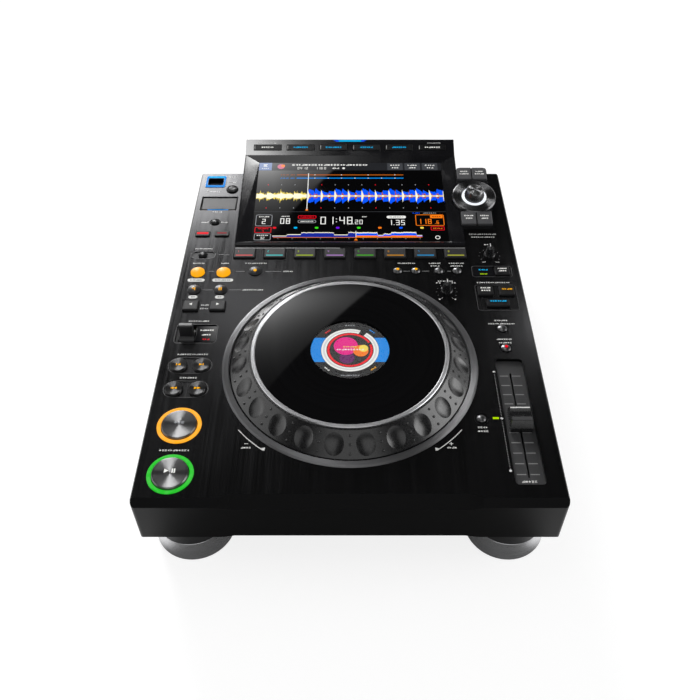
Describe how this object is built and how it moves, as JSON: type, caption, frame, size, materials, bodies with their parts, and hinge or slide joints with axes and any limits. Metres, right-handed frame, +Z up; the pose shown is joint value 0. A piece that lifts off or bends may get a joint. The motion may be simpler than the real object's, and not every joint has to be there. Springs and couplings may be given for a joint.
{
  "type": "tabletop dj media player",
  "caption": "Tabletop DJ media player: flat deck with a large dimpled jog wheel, raised touch display, tempo fader, lever, knobs and push buttons that move, on four turned feet.",
  "frame": {"origin": "on the surface it stands on, under the middle of the player", "axes": "+X to the right, +Y to the back, towards the display, +Z up"},
  "size_m": [0.329, 0.453, 0.118],
  "materials": {
    "case_plastic": "fine brushed black",
    "pan_plastic": "fine textured black",
    "black_steel": "black powder coat",
    "socket_plastic": "moulded black",
    "screw_steel": "blackened",
    "foot_aluminium": "turned, satin",
    "pad_rubber": "matt",
    "housing_plastic": "satin black",
    "display_glass": "polished black glass",
    "board": "green solder mask",
    "socket_metal": "plated",
    "clear_window": "clear acrylic",
    "window_black": "polished",
    "light_pipe": "frosted, lit from inside",
    "fader_plate": "brushed dark grey",
    "pod_plastic": "satin black",
    "spun_black": "spun, black",
    "ring_metal": "turned, satin",
    "post_metal": "machined",
    "bearing_steel": "ground",
    "wheel_plastic": "satin moulded black",
    "plate_gloss": "polished with fine circles",
    "key_rubber": "satin",
    "key_grey": "satin grey",
    "button_metal": "spun",
    "button_black": "glossy black",
    "button_amber": "lit amber",
    "knob_black": "satin black with a bright face",
    "shaft_steel": "ground"
  },
  "bodies": {
    "chassis": {"upper_case": "case_plastic", "lower_case": "pan_plastic", "rear_panel": "black_steel", "rear_sockets": "socket_plastic", "case_screws": "screw_steel", "feet": "foot_aluminium", "foot_pads": "pad_rubber", "screen_housing": "housing_plastic", "display_panel": "display_glass", "circuit_boards": "board", "media_sockets": "socket_metal", "indicator_windows": "window_black", "light_rings": "light_pipe", "fader_plate": "fader_plate", "selector_pod": "pod_plastic", "selector_plate": "spun_black", "jog_surround_ring": "ring_metal", "jog_post": "post_metal", "bearing_inner_race": "bearing_steel", "jog_display": "window_black"},
    "jog": {"jog_wheel": "wheel_plastic", "jog_top_plate": "plate_gloss", "jog_window": "clear_window", "jog_trim_ring": "ring_metal", "bearing_outer_race": "bearing_steel"},
    "play_button": {"play_button": "button_metal"},
    "cue_button": {"cue_button": "button_metal"},
    "track_back_button": {"track_back_button": "button_metal"},
    "track_forward_button": {"track_forward_button": "button_metal"},
    "search_back_button": {"search_back_button": "button_metal"},
    "search_forward_button": {"search_forward_button": "button_metal"},
    "direction_lever": {"direction_lever": "knob_black"},
    "beat_loop_4_button": {"beat_loop_4_button": "button_black"},
    "beat_loop_8_button": {"beat_loop_8_button": "button_black"},
    "loop_in_button": {"loop_in_button": "button_amber"},
    "loop_out_button": {"loop_out_button": "button_amber"},
    "loop_exit_button": {"loop_exit_button": "button_black"},
    "beat_jump_keys": {"beat_jump_keys": "key_grey"},
    "utility_keys": {"utility_keys": "button_black"},
    "hot_cue_1": {"hot_cue_1": "key_rubber"},
    "hot_cue_2": {"hot_cue_2": "key_rubber"},
    "hot_cue_3": {"hot_cue_3": "key_rubber"},
    "hot_cue_4": {"hot_cue_4": "key_rubber"},
    "hot_cue_5": {"hot_cue_5": "key_rubber"},
    "hot_cue_6": {"hot_cue_6": "key_rubber"},
    "hot_cue_7": {"hot_cue_7": "key_rubber"},
    "hot_cue_8": {"hot_cue_8": "key_rubber"},
    "cue_memory_keys": {"cue_memory_keys": "button_black"},
    "browse_keys": {"browse_keys": "key_rubber"},
    "selector_keys": {"selector_keys": "key_grey"},
    "selector_shaft": {"selector_shaft": "shaft_steel"},
    "selector_knob": {"selector_knob": "knob_black"},
    "speed_adjust_knob": {"speed_adjust_knob": "knob_black"},
    "jog_adjust_knob": {"jog_adjust_knob": "knob_black"},
    "jog_mode_key": {"jog_mode_key": "key_rubber"},
    "sync_keys": {"sync_keys": "key_rubber"},
    "tempo_keys": {"tempo_keys": "button_black"},
    "tempo_fader_cap": {"tempo_fader_cap": "knob_black"},
    "card_door": {"card_door": "key_grey"},
    "power_switch": {"power_switch": "pod_plastic"}
  },
  "joints": [
    {"name": "jog_spin", "type": "hinge", "parent": "chassis", "child": "jog", "pos_m": [0, -0.084, 0.093], "axis": [0, 0, 1], "continuous": true},
    {"name": "play_button_press", "type": "slide", "parent": "chassis", "child": "play_button", "axis": [0, 0, -1], "range_m": [0, 0.0008], "stiffness_N_per_m": 300, "springref_m": -0.0012},
    {"name": "cue_button_press", "type": "slide", "parent": "chassis", "child": "cue_button", "axis": [0, 0, -1], "range_m": [0, 0.0008], "stiffness_N_per_m": 300, "springref_m": -0.0012},
    {"name": "track_back_button_press", "type": "slide", "parent": "chassis", "child": "track_back_button", "axis": [0, 0, -1], "range_m": [0, 0.0008], "stiffness_N_per_m": 300, "springref_m": -0.0012},
    {"name": "track_forward_button_press", "type": "slide", "parent": "chassis", "child": "track_forward_button", "axis": [0, 0, -1], "range_m": [0, 0.0008], "stiffness_N_per_m": 300, "springref_m": -0.0012},
    {"name": "search_back_button_press", "type": "slide", "parent": "chassis", "child": "search_back_button", "axis": [0, 0, -1], "range_m": [0, 0.0008], "stiffness_N_per_m": 300, "springref_m": -0.0012},
    {"name": "search_forward_button_press", "type": "slide", "parent": "chassis", "child": "search_forward_button", "axis": [0, 0, -1], "range_m": [0, 0.0008], "stiffness_N_per_m": 300, "springref_m": -0.0012},
    {"name": "beat_loop_4_button_press", "type": "slide", "parent": "chassis", "child": "beat_loop_4_button", "axis": [0, 0, -1], "range_m": [0, 0.0008], "stiffness_N_per_m": 300, "springref_m": -0.0012},
    {"name": "beat_loop_8_button_press", "type": "slide", "parent": "chassis", "child": "beat_loop_8_button", "axis": [0, 0, -1], "range_m": [0, 0.0008], "stiffness_N_per_m": 300, "springref_m": -0.0012},
    {"name": "loop_in_button_press", "type": "slide", "parent": "chassis", "child": "loop_in_button", "axis": [0, 0, -1], "range_m": [0, 0.0008], "stiffness_N_per_m": 300, "springref_m": -0.0012},
    {"name": "loop_out_button_press", "type": "slide", "parent": "chassis", "child": "loop_out_button", "axis": [0, 0, -1], "range_m": [0, 0.0008], "stiffness_N_per_m": 300, "springref_m": -0.0012},
    {"name": "loop_exit_button_press", "type": "slide", "parent": "chassis", "child": "loop_exit_button", "axis": [0, 0, -1], "range_m": [0, 0.0008], "stiffness_N_per_m": 300, "springref_m": -0.0012},
    {"name": "beat_jump_keys_press", "type": "slide", "parent": "chassis", "child": "beat_jump_keys", "axis": [0, 0, -1], "range_m": [0, 0.0008], "stiffness_N_per_m": 300, "springref_m": -0.0012},
    {"name": "utility_keys_press", "type": "slide", "parent": "chassis", "child": "utility_keys", "axis": [0, 0, -1], "range_m": [0, 0.0008], "stiffness_N_per_m": 300, "springref_m": -0.0012},
    {"name": "hot_cue_1_press", "type": "slide", "parent": "chassis", "child": "hot_cue_1", "axis": [0, 0, -1], "range_m": [0, 0.0008], "stiffness_N_per_m": 300, "springref_m": -0.0012},
    {"name": "hot_cue_2_press", "type": "slide", "parent": "chassis", "child": "hot_cue_2", "axis": [0, 0, -1], "range_m": [0, 0.0008], "stiffness_N_per_m": 300, "springref_m": -0.0012},
    {"name": "hot_cue_3_press", "type": "slide", "parent": "chassis", "child": "hot_cue_3", "axis": [0, 0, -1], "range_m": [0, 0.0008], "stiffness_N_per_m": 300, "springref_m": -0.0012},
    {"name": "hot_cue_4_press", "type": "slide", "parent": "chassis", "child": "hot_cue_4", "axis": [0, 0, -1], "range_m": [0, 0.0008], "stiffness_N_per_m": 300, "springref_m": -0.0012},
    {"name": "hot_cue_5_press", "type": "slide", "parent": "chassis", "child": "hot_cue_5", "axis": [0, 0, -1], "range_m": [0, 0.0008], "stiffness_N_per_m": 300, "springref_m": -0.0012},
    {"name": "hot_cue_6_press", "type": "slide", "parent": "chassis", "child": "hot_cue_6", "axis": [0, 0, -1], "range_m": [0, 0.0008], "stiffness_N_per_m": 300, "springref_m": -0.0012},
    {"name": "hot_cue_7_press", "type": "slide", "parent": "chassis", "child": "hot_cue_7", "axis": [0, 0, -1], "range_m": [0, 0.0008], "stiffness_N_per_m": 300, "springref_m": -0.0012},
    {"name": "hot_cue_8_press", "type": "slide", "parent": "chassis", "child": "hot_cue_8", "axis": [0, 0, -1], "range_m": [0, 0.0008], "stiffness_N_per_m": 300, "springref_m": -0.0012},
    {"name": "cue_memory_keys_press", "type": "slide", "parent": "chassis", "child": "cue_memory_keys", "axis": [0, 0, -1], "range_m": [0, 0.0008], "stiffness_N_per_m": 300, "springref_m": -0.0012},
    {"name": "jog_mode_key_press", "type": "slide", "parent": "chassis", "child": "jog_mode_key", "axis": [0, 0, -1], "range_m": [0, 0.0008], "stiffness_N_per_m": 300, "springref_m": -0.0012},
    {"name": "sync_keys_press", "type": "slide", "parent": "chassis", "child": "sync_keys", "axis": [0, 0, -1], "range_m": [0, 0.0008], "stiffness_N_per_m": 300, "springref_m": -0.0012},
    {"name": "tempo_keys_press", "type": "slide", "parent": "chassis", "child": "tempo_keys", "axis": [0, 0, -1], "range_m": [0, 0.0008], "stiffness_N_per_m": 300, "springref_m": -0.0012},
    {"name": "browse_keys_press", "type": "slide", "parent": "chassis", "child": "browse_keys", "axis": [0, 0.3969, -0.9179], "range_m": [0, 0.0008], "stiffness_N_per_m": 300, "springref_m": -0.0012},
    {"name": "selector_keys_press", "type": "slide", "parent": "chassis", "child": "selector_keys", "axis": [0, 0.184, -0.9829], "range_m": [0, 0.0008], "stiffness_N_per_m": 300, "springref_m": -0.0012},
    {"name": "selector_push", "type": "slide", "parent": "chassis", "child": "selector_shaft", "axis": [0, 0.184, -0.9829], "range_m": [0, 0.001], "stiffness_N_per_m": 400, "springref_m": -0.0015},
    {"name": "selector_turn", "type": "hinge", "parent": "selector_shaft", "child": "selector_knob", "pos_m": [0.1302, 0.1365, 0.1072], "axis": [0, -0.184, 0.9829], "continuous": true},
    {"name": "direction_tilt", "type": "hinge", "parent": "chassis", "child": "direction_lever", "pos_m": [-0.1459, -0.0508, 0.0855], "axis": [1, 0, 0], "range_deg": [-13, 13]},
    {"name": "speed_adjust_turn", "type": "hinge", "parent": "chassis", "child": "speed_adjust_knob", "pos_m": [0.138, 0.056, 0.093], "axis": [0, 0, 1], "range_deg": [-150, 150]},
    {"name": "jog_adjust_turn", "type": "hinge", "parent": "chassis", "child": "jog_adjust_knob", "pos_m": [0.0913, 0.004, 0.093], "axis": [0, 0, 1], "range_deg": [-150, 150]},
    {"name": "tempo_slide", "type": "slide", "parent": "chassis", "child": "tempo_fader_cap", "axis": [0, 1, 0], "range_m": [-0.05, 0.05]},
    {"name": "card_door_hinge", "type": "hinge", "parent": "chassis", "child": "card_door", "pos_m": [-0.1395, 0.15145, 0.0909], "axis": [-1, 0, 0], "range_deg": [0, 95]},
    {"name": "power_switch_press", "type": "slide", "parent": "chassis", "child": "power_switch", "axis": [0, -1, 0], "range_m": [0, 0.0015], "stiffness_N_per_m": 400, "springref_m": -0.001}
  ]
}
